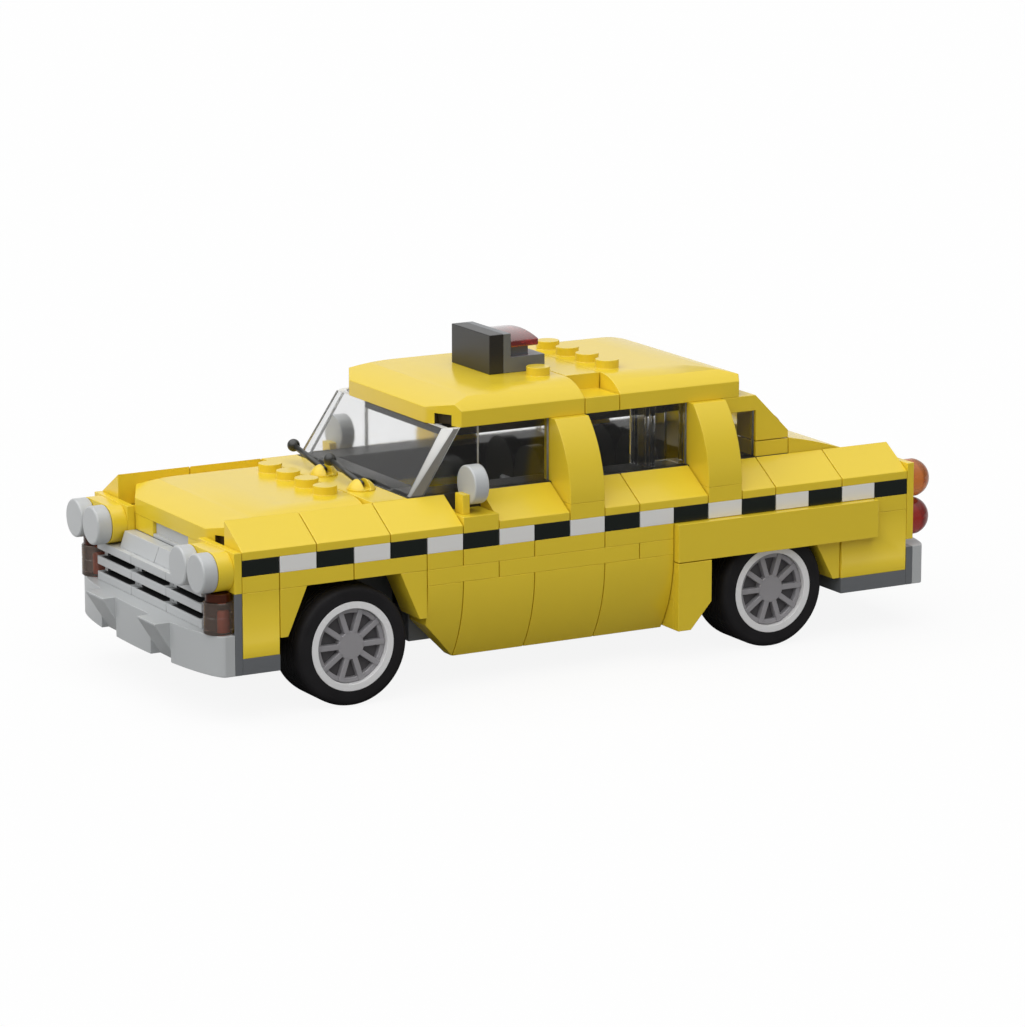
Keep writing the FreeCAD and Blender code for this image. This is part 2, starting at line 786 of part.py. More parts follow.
def pillars():
    """Two uprights a side that curve in towards the roof."""
    foot = up("saddle")
    top = up("roof_base")
    inner = INNER * pitch + play
    rail = INNER * pitch - size["pillar_wall"]
    head = SIDE - size["pillar_lean"]
    middle = ((SIDE + head) / 2 + size["pillar_bulge"], (foot + thin + top) / 2)
    outline = [
        (inner, foot),
        (SIDE, foot),
        (SIDE, foot + thin),
        ("arc", middle, (head, top)),
        (rail, top),
        (rail, up("ridge")),
        (inner, up("ridge")),
    ]
    made = [prism("yz", outline, back(rear) + play, back(front) - play) for front, rear in PILLARS]
    return node("pillars", left_and_right(made, "Pillar"))


def screen_line():
    """Foot and head of the windscreen's outer face, and its thickness lengthwise."""
    foot = back("screen") - 2 * play
    head = foot - size["screen_lean"]
    tall = up("roof_base") - up("ridge")
    return foot, head, size["glass"] * math.hypot(tall, size["screen_lean"]) / tall


def windscreen():
    foot, head, wall = screen_line()
    half = INNER * pitch - 2 * play
    low = up("ridge")
    top = up("roof_base")
    outline = [(foot, low), (head, top), (head - wall, top), (foot - wall, low)]
    return node("windscreen", [form(prism("xz", outline, -half, half), "Screen")])


def windows():
    """Side windows, the windscreen's side wings, the quarter windows and the rear window."""
    outer = INNER * pitch - size["glass_inset"]
    inner = outer - size["glass"]
    low = up("ridge")
    top = up("roof_base")
    panes = []
    for front, rear in PANES:
        panes.append(box_shape(back(rear) + play, back(front) - play, inner, outer, low, top))
    panes.append(box_shape(back("roof_end") + play, back("quarter") - play, inner, outer, low, up("pane_top")))
    foot, head, wall = screen_line()
    behind = wall + play
    wing = [(foot - behind, low), (head - behind, top), (back("wing") + play, top), (back("wing") + play, low)]
    panes.append(prism("xz", wing, INNER * pitch - 2 * play - size["glass"], INNER * pitch - 2 * play))
    foot = back("deck") + size["rear_glass_in"]
    head = foot + size["rear_lean"]
    wall = size["glass"] * math.hypot(top - low, size["rear_lean"]) / (top - low)
    half = AISLE * pitch - play
    rear = prism("xz", [(foot, low), (head, top), (head + wall, top), (foot + wall, low)], -half, half)
    return node("windows", left_and_right(panes, "Pane") + [form(rear, "RearPane")])


def roof_liner():
    """A dark plate under the roof."""
    return node("roof_liner", [cell("liner", "quarter", -AISLE, AISLE, "pane_top", "roof_base")])


def rear_quarters():
    """The slanted corners behind the side windows, in two courses."""
    inner = AISLE * pitch + play
    outer = INNER * pitch - play
    front = back("quarter") - play
    seam = up("lid")
    upper = [
        (front, up("pane_top")),
        (front, up("roof_base")),
        (back("roof_end"), up("roof_base")),
        (back("deck") + play, seam + thin),
        (back("deck") + play, seam + play),
        (back("roof_end") - play, seam + play),
        (back("roof_end") - play, up("pane_top")),
    ]
    made = [
        prism("xz", upper, inner, outer),
        box_shape(back("deck") + play, back("roof_end") - play, inner, outer, up("ridge"), seam - play),
    ]
    return node("rear_quarters", left_and_right(made, "Quarter"))


# The seats' sides, in studs to the left
seat_shares = ((0, 1.5), (-1.5, 0))


def seat(rear, right, left):
    """A cushion and a back with a rounded top."""
    low = up("floor")
    end = back(rear) + play
    y = (right * pitch + play, left * pitch - play)
    cushion = box_shape(end, end + size["seat_long"], y[0], y[1], low, low + size["cushion"])
    top = low + size["seat_tall"]
    middle = (y[0] + y[1]) / 2
    reach = (y[1] - y[0]) / 2
    outline = [(y[0], low), (y[1], low), (y[1], top), ("arc", (middle, top + reach), (y[0], top))]
    return form(cushion.fuse(prism("yz", outline, end, end + size["seat_back"])).removeSplitter(), "Seat")


def seats():
    made = []
    for rear in ("middle", "rear_arch"):
        for right, left in seat_shares:
            made.append(seat(rear, right, left))
    return node("seats", made)


def dashboard():
    """A block under the windscreen, with the steering wheel on a rod at the left."""
    front = back("screen") - play
    rear = front - size["dash_long"]
    half = AISLE * pitch - play
    board = box_shape(rear, front, -half, half, up("stripe"), up("ridge"))
    rod = size["steering_rod"]
    radius = size["steering_radius"]
    foot = V(rear, 1.25 * pitch, up("ridge") - plate)
    hub = foot + V(-size["steering_reach"], 0, size["steering_rise"])
    lean = math.radians(size["steering_tilt"])
    axis = V(-math.sin(lean), 0, math.cos(lean))
    column = Part.makeCylinder(rod, (foot - hub).Length + rod, hub, foot - hub)
    ring = Part.makeCylinder(radius + rod, 2 * rod, hub - axis * rod, axis)
    ring = ring.cut(Part.makeCylinder(radius - rod, 2 * rod, hub - axis * rod, axis))
    bar = Part.makeCylinder(rod, 2 * radius, hub - V(0, radius, 0), V(0, 1, 0))
    return node("dashboard", [form(board.fuse([column, ring, bar]).removeSplitter(), "Dash")])


# Ends of the car
def bumper(low, guards):
    """A bumper that bows forwards; the body's end is at x = 0."""
    ends = 2 * thin
    bow = size["bumper_bow"]
    half = HALF * pitch
    edge = quarter_ellipse(V(ends, 0, 0), V(0, half, 0), V(bow, 0, 0))
    shape = closed_face([edge], [V(ends + bow, 0, 0), V(thin, 0, 0), V(thin, half, 0), V(ends, half, 0)])
    shape.translate(V(0, 0, low))
    shape = shape.extrude(V(0, 0, pitch))
    shape = shape.common(box_shape(0, half, 0, SIDE, low, low + pitch))
    if guards:
        # Each guard fills a gap in the bow and leans back behind its face
        lip = ends + bow + size["guard_proud"]
        foot = lip - size["guard_lean"]
        top = low + pitch
        gap = box_shape(ends, lip, pitch, AISLE * pitch, low, top)
        outline = [(thin, low), (foot, low), (lip, top - size["guard_edge"]), (lip, top), (thin, top)]
        guard = prism("xz", outline, pitch, AISLE * pitch)
        shape = shape.cut(gap).fuse(guard)
    return shape.fuse(shape.mirror(V(0, 0, 0), V(0, 1, 0))).removeSplitter()


def bumpers():
    """A curved piece at each end, with a pair of guards at the front."""
    front = bumper(up(0), True)
    rear = bumper(up(0), False).mirror(V(0, 0, 0), V(1, 0, 0))
    rear.translate(V(back("body"), 0, 0))
    return [
        node("front_bumper", [form(front, "FrontBumper")]),
        node("rear_bumper", [form(rear, "RearBumper")]),
    ]


def bumper_brackets():
    """The dark upright plates behind the bumpers, open round the indicators."""
    front = box_shape(0, thin, -SIDE, SIDE, up(0), up("belt"))
    low = up(0) + pitch
    middle = (INNER + 0.5) * pitch
    room = size["indicator_radius"] + size["indicator_room"]
    for side in (1, -1):
        front = front.cut(box_shape(0, thin, side * middle - room, side * middle + room, low, up("belt")))
    rear = box_shape(back("body") - thin, back("body"), -SIDE, SIDE, up(0), up(0) + pitch)
    return node("bumper_brackets", [form(front, "FrontBracket"), form(rear, "RearBracket")])


BARS = 3


def grille():
    """Three slotted tiles across the front; each slot is deeper between the webs at its ends."""
    low = up(0) + pitch
    face = 3 * thin
    slot_tall = size["slot_tall"]
    bar = (pitch - (BARS - 1) * slot_tall) / BARS
    edge = size["grille_edge"]
    tiles = []
    for place in (-1, 0, 1):
        right = (2 * place - 1) * pitch + play
        left = (2 * place + 1) * pitch - play
        tile = box_shape(thin, face, right, left, low, low + pitch)
        for number in range(BARS - 1):
            base = low + bar + number * (bar + slot_tall)
            top = base + slot_tall
            tile = tile.cut(box_shape(face - size["web_inset"], face, right, left, base, top))
            tile = tile.cut(box_shape(face - size["slot_deep"], face, right + edge, left - edge, base, top))
        tiles.append(form(tile, "Tile"))
    return node("grille", tiles)


def grille_trim():
    """Two pieces over the grille that lean back, and the grey strip above them with a ledge."""
    low = up("belt")
    reach = size["cap_reach"]
    outline = [(0, low), (reach, low), (reach - size["cap_lean"], low + plate), (0, low + plate)]
    caps = [prism("xz", outline, play, AISLE * pitch - play)]
    base = up("stripe")
    front = -play
    ledge = size["ledge"]
    strip = [
        (back("arch"), base),
        (front, base),
        (front, base + ledge),
        (front - ledge, base + ledge),
        (front - ledge, up("shoulder")),
        (back("arch"), up("shoulder")),
    ]
    nose = form(prism("xz", strip, play - pitch, pitch - play), "Strip")
    return node("grille_trim", left_and_right(caps, "Cap") + [nose])


def lamp_brackets():
    """The upright plates that carry the lamps."""
    front = box_shape(0, thin, AISLE * pitch + play, SIDE, up("belt"), up("belt") + pitch)
    top = up("saddle")
    rear = box_shape(back("body") - thin, back("body"), INNER * pitch + play, SIDE, top - 2 * pitch, top)
    return node("lamp_brackets", left_and_right([front, rear], "LampBracket"))


def lamp_housings():
    """Each pair of head lamps sits on a tile with round ends."""
    r = pitch / 2 - play
    middle = up("belt") + pitch / 2
    near = (AISLE + 0.5) * pitch
    far = (INNER + 0.5) * pitch
    outline = [
        (near, middle - r),
        (far, middle - r),
        ("arc", (far + r, middle), (far, middle + r)),
        (near, middle + r),
        ("arc", (near - r, middle), (near, middle - r)),
    ]
    return node("lamp_housings", left_and_right([prism("yz", outline, thin, 3 * thin)], "Housing"))


def headlamps():
    lamps = []
    z = "%s + pitch / 2" % up_text("belt")
    near = AISLE + 0.5
    far = INNER + 0.5
    for place in (-far, -near, near, far):
        lamps.append(drum("3 * thin", "%g * pitch" % place, z, "pitch / 2 - play", "lamp_thick", "x", "Lamp"))
    return node("headlamps", lamps)


def indicators():
    lamps = []
    x = "indicator_radius + play"
    z = "%s + pitch" % up_text(0)
    far = INNER + 0.5
    for place in (-far, far):
        lamps.append(drum(x, "%g * pitch" % place, z, "indicator_radius", "pitch", "z", "Indicator"))
    return node("indicators", lamps)


def tail_lamps():
    """A domed lamp above another at each rear corner."""
    made = []
    r = pitch / 2 - play
    straight = size["tail_straight"]
    dome = size["tail_dome"]
    # The dome is a cap of a ball that meets the straight part's edge
    ball = (r ** 2 + dome ** 2) / (2 * dome)
    for label, below in (("tail_lamps_upper", 0.5), ("tail_lamps_lower", 1.5)):
        lamp = Part.makeCylinder(r, straight + dome, V(0, 0, 0), V(-1, 0, 0))
        lamp = lamp.common(Part.makeSphere(ball, V(ball - straight - dome, 0, 0)))
        lamp = lamp.fuse(Part.makeCylinder(r, straight, V(0, 0, 0), V(-1, 0, 0))).removeSplitter()
        lamp.translate(V(back("body") - thin, (INNER + 0.5) * pitch, up("saddle") - below * pitch))
        made.append(node(label, left_and_right([lamp], "TailLamp")))
    return made


# Roof sign, mirrors and wipers
def roof_sign():
    """A bracket on the front roof piece with the dark sign before it and the lamp behind it."""
    foot = cell("sign", "middle", -1, 1, "roof_top", "sign_foot")
    x = (back_text("sign") + " - play", back_text("sign") + " + thin")
    y = ("-pitch + play", "pitch - play")
    z = (up_text("roof_top"), up_text("roof_top") + " + pitch")
    upright = block(x, y, z, "Upright")
    board = block((x[1], x[1] + " + 2 * thin"), y, z, "Board")
    front = back_text("sign") + " - play"
    low = up_text("sign_foot")
    x = (front + " - lamp_long + thin", front)
    under = block(x, ("-pitch + thin", "pitch - thin"), (low, low + " + lamp_foot"), "LampFoot")
    top = up("sign_foot") + size["lamp_foot"]
    half = pitch - play
    side = top + size["lamp_side"]
    outline = [(-half, top), (half, top), (half, side), ("arc", (0, side + size["lamp_crown"]), (-half, side))]
    front = back("sign") - play
    lamp = prism("yz", outline, front - size["lamp_long"], front)
    return [
        node("sign_bracket", [fused([foot, upright, under])]),
        node("sign", [board]),
        node("sign_lamp", [form(lamp, "SignLamp")]),
    ]


def mirrors():
    """A disc behind an upright on each side."""
    low = up("saddle")
    face = back("mirror") - size["holder_inset"] - size["holder_thick"]
    middle = (INNER + 0.5) * pitch
    r = pitch / 2 - play
    half = size["holder_width"] / 2
    front = face + size["holder_thick"]
    holder = box_shape(face, front, middle - half, middle + half, low, low + size["holder_rise"])
    at = V(face, middle, low + size["mirror_rise"])
    disc = Part.makeCylinder(r, size["mirror_thick"], at, V(-1, 0, 0))
    return [
        node("mirror_holders", left_and_right([holder], "Holder")),
        node("mirrors", left_and_right([disc], "Mirror")),
    ]


def wipers():
    """Split knobs on the cowl, each with a lever that ends in a ball."""
    low = up("ridge")
    x = back("wipers")
    knob = size["wiper_knob"]
    dome = size["wiper_dome"]
    half = size["wiper_slot"] / 2
    # Each knob is a cap of this ball
    ball = (knob ** 2 + dome ** 2) / (2 * dome)
    bases = []
    levers = []
    for place in (1.5, -0.5):
        y = place * pitch
        cap = Part.makeCylinder(knob, dome, V(x, y, low)).common(Part.makeSphere(ball, V(x, y, low + dome - ball)))
        slot = box_shape(x - half, x + half, y - knob, y + knob, low + size["wiper_floor"], low + dome)
        bases.append(form(cap.cut(slot), "WiperBase"))
        pivot = V(x, y, low + dome / 2)
        way = V(0, -size["wiper_reach"], size["wiper_rise"])
        rod = Part.makeCylinder(size["wiper_rod"], way.Length, pivot, way)
        hub = Part.makeSphere(size["wiper_rod"], pivot)
        end = Part.makeSphere(size["wiper_ball"], pivot + way)
        levers.append(form(rod.fuse([hub, end]).removeSplitter(), "WiperLever"))
    return [node("wiper_bases", bases), node("wiper_levers", levers)]


nodes = [
    base_plate(),
    axle_carriers(),
    cabin_walls(),
    door_panels(),
    sill_plates(),
    lower_corners(),
    arch_wedges(),
    belt_plates(),
    rear_panels(),
    upper_plates(),
    fender_slopes(),
    bonnet(),
    cowl(),
    boot_lid(),
    cabin_sills(),
    pillars(),
    windscreen(),
    windows(),
    roof_liner(),
    rear_quarters(),
    seats(),
    dashboard(),
    bumper_brackets(),
    grille(),
    grille_trim(),
    lamp_brackets(),
    lamp_housings(),
    headlamps(),
    indicators(),
]
nodes += checks() + roof() + end_walls() + bumpers() + tail_lamps() + roof_sign() + mirrors() + wipers()
nodes += wheels()
doc.recompute()

faults = [item.Name for item in doc.Objects if {"Invalid", "Error"} & set(item.State)]
for item in nodes:
    if item.Shape.isNull() or not item.Shape.isValid() or not item.Shape.Solids:
        faults.append(item.Label)
if faults:
    raise RuntimeError("Faulty: " + ", ".join(faults))

os.makedirs("parts", exist_ok=True)
for item in nodes:
    item.Shape.exportStep(os.path.join("parts", item.Label + ".step"))
print("%d nodes" % len(nodes))
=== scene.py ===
import json
import math

import bmesh
import bpy
from mathutils import Matrix, Vector


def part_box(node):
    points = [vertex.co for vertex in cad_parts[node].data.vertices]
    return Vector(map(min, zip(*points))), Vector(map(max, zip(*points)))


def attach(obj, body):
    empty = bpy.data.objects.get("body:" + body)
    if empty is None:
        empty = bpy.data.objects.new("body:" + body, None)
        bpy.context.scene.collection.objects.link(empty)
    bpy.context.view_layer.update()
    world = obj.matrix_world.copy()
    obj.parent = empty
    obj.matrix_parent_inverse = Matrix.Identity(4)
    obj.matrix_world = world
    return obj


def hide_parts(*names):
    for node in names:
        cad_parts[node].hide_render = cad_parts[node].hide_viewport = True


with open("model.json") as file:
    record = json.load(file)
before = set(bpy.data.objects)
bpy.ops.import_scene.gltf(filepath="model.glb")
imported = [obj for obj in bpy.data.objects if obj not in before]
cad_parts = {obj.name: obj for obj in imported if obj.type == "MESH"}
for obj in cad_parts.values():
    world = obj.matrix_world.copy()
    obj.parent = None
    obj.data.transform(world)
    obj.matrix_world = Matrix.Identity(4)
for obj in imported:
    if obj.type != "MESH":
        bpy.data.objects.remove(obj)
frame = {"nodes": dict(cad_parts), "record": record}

# Toy brick-built taxi, dressed over its CAD solids. Metres, +X forward, +Y left, +Z up.
MM = 0.001
PITCH = 8 * MM  # from stud to stud
PLATE = 3.2 * MM  # height of a flat brick
PLAY = 0.1 * MM  # half the gap between neighbouring bricks
AISLE = 2 * PITCH  # how far the four middle studs reach to each side
SOFT_EDGE = 0.12 * MM  # how far a moulded edge is rounded
WELD = 2e-6  # points nearer than this become one
FLAT = math.radians(0.4)  # faces that bend less than this become one
SHARP = math.radians(30)  # edges of turned pieces that bend more than this stay sharp
ORIGIN = Vector((0, 0, 0))
NODES = frame["nodes"]
BODY = {
    node: body
    for body, members in frame["record"]["behaviour"]["bodies"].items()
    for node in members
}
SLOT = {part["node"]: part["material_slot"] for part in frame["record"]["subparts"]}
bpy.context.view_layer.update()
scene = bpy.context.scene


def placed(name, data):
    """A new object in the scene."""
    made = bpy.data.objects.new(name, data)
    scene.collection.objects.link(made)
    return made


def aimed(made, way):
    """Turns a camera or a lamp to look along a direction."""
    made.rotation_mode = "QUATERNION"
    made.rotation_quaternion = way.to_track_quat("-Z", "Y")


# Camera, at the photo's angle
CAMERA_PLACE = (0.45095, 0.80383, 0.23183)
CAMERA_AIM = (-0.002206, 0, 0.026479)
CAMERA_LENS = 162.76
CAMERA_SENSOR = 36


def photo_camera():
    data = bpy.data.cameras.new("photo_camera")
    data.lens = CAMERA_LENS
    data.sensor_width = CAMERA_SENSOR
    data.clip_start = 0.01
    data.clip_end = 100
    camera = placed("photo_camera", data)
    camera.location = CAMERA_PLACE
    aimed(camera, Vector(CAMERA_AIM) - camera.location)
    scene.camera = camera


# Node trees
def give(node, inputs):
    """Gives inputs, by name or number, a value or another node's output each."""
    for name, value in inputs.items():
        socket = node.inputs[name]
        if isinstance(value, bpy.types.NodeSocket):
            node.id_data.links.new(value, socket)
        else:
            socket.default_value = value


def add(tree, kind, inputs, operation=None):
    """A new node with its inputs."""
    node = tree.nodes.new(kind)
    if operation:
        node.operation = operation
    give(node, inputs)
    return node


def reckoned(tree, operation, *terms):
    """One step of arithmetic on numbers and outputs."""
    return add(tree, "ShaderNodeMath", dict(enumerate(terms)), operation).outputs["Value"]


def spread(tree, pattern, low, high, start=0.3, end=0.7):
    """Turns a pattern's range from start to end into values from low to high."""
    inputs = {"Value": pattern, "From Min": start, "From Max": end, "To Min": low, "To Max": high}
    return add(tree, "ShaderNodeMapRange", inputs).outputs["Result"]


def blended(tree, share, low, high):
    """Low where the share is 0 and high where it is 1."""
    return spread(tree, share, low, high, start=0, end=1)


def shaded(tree, pattern, low, high, start=0, end=1):
    """Turns a pattern's range from start to end into colours from low to high."""
    ramp = add(tree, "ShaderNodeValToRGB", {"Fac": pattern})
    for stop, place, colour in zip(ramp.color_ramp.elements, (start, end), (low, high)):
        stop.position = place
        stop.color = colour + (1,)
    return ramp.outputs["Color"]


def noise(tree, place, scale, detail=3, rough=0.5):
    inputs = {"Vector": place, "Scale": scale, "Detail": detail, "Roughness": rough}
    return add(tree, "ShaderNodeTexNoise", inputs).outputs["Fac"]


def bump(tree, pattern, strength, distance):
    inputs = {"Height": pattern, "Strength": strength, "Distance": distance}
    return add(tree, "ShaderNodeBump", inputs).outputs["Normal"]


# Materials
def surface(name):
    """A material with its shader, and object coordinates to draw patterns by."""
    material = bpy.data.materials.new(name)
    material.use_nodes = True
    tree = material.node_tree
    place = add(tree, "ShaderNodeTexCoord", {}).outputs["Object"]
    return material, tree, tree.nodes["Principled BSDF"], place


def tinted(tree, colour, pattern, depth):
    """The colour, darker where the pattern is low and a little paler where it is high."""
    low = tuple(c * (1 - depth) for c in colour)
    high = tuple(min(1, c * (1 + depth * 0.5)) for c in colour)
    return shaded(tree, pattern, low, high, start=0.25, end=0.75)


def moulded_plastic(name, colour, rough, depth, ripple=0.006, wear=0.03):
    """Glossy plastic: a faint ripple from the mould, fine scuffs, and each brick's own shade."""
    material, tree, shader, place = surface(name)
    island = add(tree, "ShaderNodeNewGeometry", {}).outputs["Random Per Island"]
    patches = reckoned(tree, "MULTIPLY", noise(tree, place, scale=90), 0.6)
    shade = reckoned(tree, "MULTIPLY_ADD", island, 0.4, patches)
    scuffs = noise(tree, place, scale=420, rough=0.6)
    waves = noise(tree, place, scale=150, detail=1)
    give(shader, {
        "Base Color": tinted(tree, colour, shade, depth),
        "Roughness": spread(tree, scuffs, rough, rough + wear),
        "Normal": bump(tree, waves, ripple, distance=0.4 * MM),
        "IOR": 1.52,
    })
    return material


def tyre_rubber():
    """Dull black rubber with a fine grain."""
    material, tree, shader, place = surface("tyre_rubber")
    patches = noise(tree, place, scale=160)
    grain = noise(tree, place, scale=4200, detail=2)
    give(shader, {
        "Base Color": tinted(tree, (0.018, 0.017, 0.0185), patches, depth=0.25),
        "Roughness": spread(tree, grain, 0.5, 0.68),
        "Normal": bump(tree, grain, strength=0.12, distance=0.1 * MM),
        "Specular IOR Level": 0.15,
    })
    return material


def clear_plastic(name, colour, rough=0.03, clear=1.0, coat=0.0):
    """See-through plastic with a faint ripple and a trace of scuffs."""
    material, tree, shader, place = surface(name)
    patches = noise(tree, place, scale=120)
    scuffs = noise(tree, place, scale=700, detail=4, rough=0.7)
    waves = noise(tree, place, scale=220, detail=1)
    give(shader, {
        "Base Color": tinted(tree, colour, patches, depth=0.03),
        "Roughness": spread(tree, scuffs, rough, rough + 0.05),
        "Normal": bump(tree, waves, strength=0.01, distance=0.3 * MM),
        "Transmission Weight": clear,
        "Coat Weight": coat,
        "Coat IOR": 1.8,
        "IOR": 1.5,
    })
    return material


def lit_upwards(material, foot, head, low, high):
    """Gives a material a painted highlight: a colour that goes from foot to head between two
    heights.
    """
    tree = material.node_tree
    place = add(tree, "ShaderNodeTexCoord", {}).outputs["Object"]
    height = add(tree, "ShaderNodeSeparateXYZ", {"Vector": place}).outputs["Z"]
    share = spread(tree, height, 0, 1, start=low, end=high)
    give(tree.nodes["Principled BSDF"], {"Base Color": shaded(tree, share, foot, head)})


# Finish: colour, roughness, depth of its shades, and for the calmer ones ripple and scuffs
MOULDED = {
    "yellow": ((0.83, 0.61, 0.034), 0.2, 0.025),
    "black": ((0.008, 0.012, 0.009), 0.22, 0.1),
    "white": ((0.82, 0.815, 0.795), 0.22, 0.015),
    "rim_white": ((0.86, 0.855, 0.86), 0.25, 0.015),
    "light_grey": ((0.48, 0.495, 0.5), 0.28, 0.015, 0.004, 0.015),
    # a paler copy of light grey: painted light on the grey parts facing forwards
    "light_grey_lit": ((0.52, 0.535, 0.54), 0.28, 0.015, 0.004, 0.015),
    # painted shade: near-black for the shade deep inside the grille's slots
    "slot_shade": ((0.012, 0.013, 0.013), 0.5, 0.05),
    # painted shade: dark brown for the shade in the notches under cut corners
    "notch": ((0.06, 0.04, 0.012), 0.5, 0.05),
    "cover_grey": ((0.335, 0.325, 0.34), 0.35, 0.02),
    # painted shade: the dark disc seen through the cover's openings
    "cover_shade": ((0.1, 0.095, 0.1), 0.45, 0.02),
    "dark_grey": ((0.15, 0.158, 0.168), 0.28, 0.03),
    # the cabin's dark grey, darkened further as painted shade inside the car
    "cabin": ((0.033, 0.031, 0.025), 0.4, 0.05),
    "sign": ((0.02, 0.019, 0.019), 0.3, 0.04),
    "lever": ((0.025, 0.026, 0.024), 0.3, 0.05),
}
# Finish: colour, roughness, how clear it is, and for the lamp on the roof its coat
CLEAR = {
    "clear": ((0.985, 0.99, 0.99),),
    # painted highlight: a pale colour for the glint on the glass's cut edges
    "clear_edge_highlight": ((0.8, 0.8, 0.78), 0.3, 0.3),
    # painted shade: dark grey for the shaded cabin seen through the windscreen's near edge
    "clear_rim_shade": ((0.3, 0.29, 0.27), 0.3, 0.3),
    "red_clear": ((0.36, 0.03, 0.022), 0.08, 0.6),
    "red_gloss": ((0.5, 0.035, 0.03), 0.05, 0.7, 1.0),
    "orange_clear": ((0.66, 0.2, 0.045), 0.08, 0.6),
    "brown_clear": ((0.5, 0.38, 0.32), 0.12, 0.85),
    # painted highlight: a red-orange core that shows through the body as its glint
    "red_core_highlight": ((0.75, 0.16, 0.08), 0.2, 0.1),
    "red_cap": ((0.1, 0.02, 0.006), 0.2, 0.3),
}
FINISH = {name: moulded_plastic(name + "_plastic", *look) for name, look in MOULDED.items()}
FINISH["tyre"] = tyre_rubber()
FINISH.update((name, clear_plastic(name + "_plastic", *look)) for name, look in CLEAR.items())
# The cut edges of the glass get a painted highlight, grey low down and nearly white high up
lit_upwards(FINISH["clear_edge_highlight"], (0.38, 0.38, 0.37), (0.98, 0.98, 0.96), 38 * MM, 49 * MM)


# Pieces
def piece(name, mesh, node, *finishes):
    """A finished mesh that stands for a CAD node and rides with its body."""
    made = placed(name, mesh)
    mesh.materials.clear()
    for finish in finishes:
        mesh.materials.append(FINISH[finish])
    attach(made, BODY[node])
    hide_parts(node)
    return made


def even_faces(made, keep_sharp=True):
    """Keeps flat faces flat; the sharp edges stay sharp, or are smoothed as a bevel needs."""
    made.modifiers.new("even_faces", "WEIGHTED_NORMAL").keep_sharp = keep_sharp


def rounded(made, edge=SOFT_EDGE, steps=2, angle=28):
    """Rounds a piece's sharp edges and keeps its flat faces flat."""
    bevel = made.modifiers.new("rounded_edges", "BEVEL")
    bevel.width = edge
    bevel.segments = steps
    bevel.limit_method = "ANGLE"
    bevel.angle_limit = math.radians(angle)
    bevel.use_clamp_overlap = False
    even_faces(made, keep_sharp=False)


def smooth(mesh):
    for face in mesh.polygons:
        face.use_smooth = True
    return mesh


def form_of(*meshes):
    """Meshes opened together for editing."""
    form = bmesh.new()
    for mesh in meshes:
        form.from_mesh(mesh)
    return form


def closed(form, mesh):
    """Puts an edited form into a mesh."""
    form.to_mesh(mesh)
    form.free()
    return smooth(mesh)


def mesh_of(form, name):
    return closed(form, bpy.data.meshes.new(name))


def joined(meshes, name):
    """Several meshes as one."""
    return mesh_of(form_of(*meshes), name)


def clean_copy(node):
    """A CAD node's mesh with its triangles merged into whole faces."""
    form = form_of(NODES[node].data)
    bmesh.ops.remove_doubles(form, verts=form.verts, dist=WELD)
    bmesh.ops.dissolve_limit(form, angle_limit=FLAT, verts=form.verts, edges=form.edges)
    return mesh_of(form, node + "_mesh")


def moulded(node, finish=None, edge=SOFT_EDGE, steps=2):
    """A CAD node with the soft edges and the finish of a moulded piece."""
    made = piece(node + "_moulded", clean_copy(node), node, finish or SLOT[node])
    rounded(made, edge, steps)
    return made


def cut(form, place, way, **options):
    """Cuts a form in two along a plane."""
    parts = form.verts[:] + form.edges[:] + form.faces[:]
    bmesh.ops.bisect_plane(form, geom=parts, plane_co=place, plane_no=way, **options)


# Plain forms
def box_mesh(corner, opposite, edge=SOFT_EDGE, steps=2):
    """A box with rounded edges between two opposite corners."""
    low, high = (tuple(map(pick, corner, opposite)) for pick in (min, max))
    form = bmesh.new()
    bmesh.ops.create_cube(form, size=1)
    for vertex in form.verts:
        vertex.co = [low[i] if vertex.co[i] < 0 else high[i] for i in range(3)]
    bmesh.ops.bevel(
        form, geom=form.edges[:], offset=edge, segments=steps, profile=0.5, affect="EDGES"
    )
    return mesh_of(form, "box")


def loft_mesh(foot, head):
    """A solid between two outlines of 3-D points, each with as many points."""
    form = bmesh.new()
    first = [form.verts.new(point) for point in foot]
    second = [form.verts.new(point) for point in head]
    form.faces.new(first)
    form.faces.new(list(reversed(second)))
    for number in range(len(first)):
        after = (number + 1) % len(first)
        form.faces.new((first[after], first[number], second[number], second[after]))
    bmesh.ops.recalc_face_normals(form, faces=form.faces)
    return mesh_of(form, "loft")


def turned_mesh(outline, centre, side, sides=96):
    """An outline of (radius, depth) in millimetres turned about the y axis.

    Depth runs inwards from the outer face at centre. An outline that starts on the axis ends
    there, and any other one is a closed loop.
    """
    form = bmesh.new()
    rings = []
    for radius, depth in outline:
        ring = []
        for number in range(sides):
            angle = 2 * math.pi * number / sides
            spot = Vector((radius * math.sin(angle), -side * depth, radius * math.cos(angle)))
            ring.append(form.verts.new(centre + spot * MM))
        rings.append(ring)
    following = rings[1:] if outline[0][0] == 0 else rings[1:] + rings[:1]
    for first, second in zip(rings, following):
        for number in range(sides):
            after = (number + 1) % sides
            form.faces.new((first[number], first[after], second[after], second[number]))
    bmesh.ops.remove_doubles(form, verts=form.verts, dist=WELD)
    bmesh.ops.recalc_face_normals(form, faces=form.faces)
    mesh = mesh_of(form, "turned")
    mesh.set_sharp_from_angle(angle=SHARP)
    return mesh


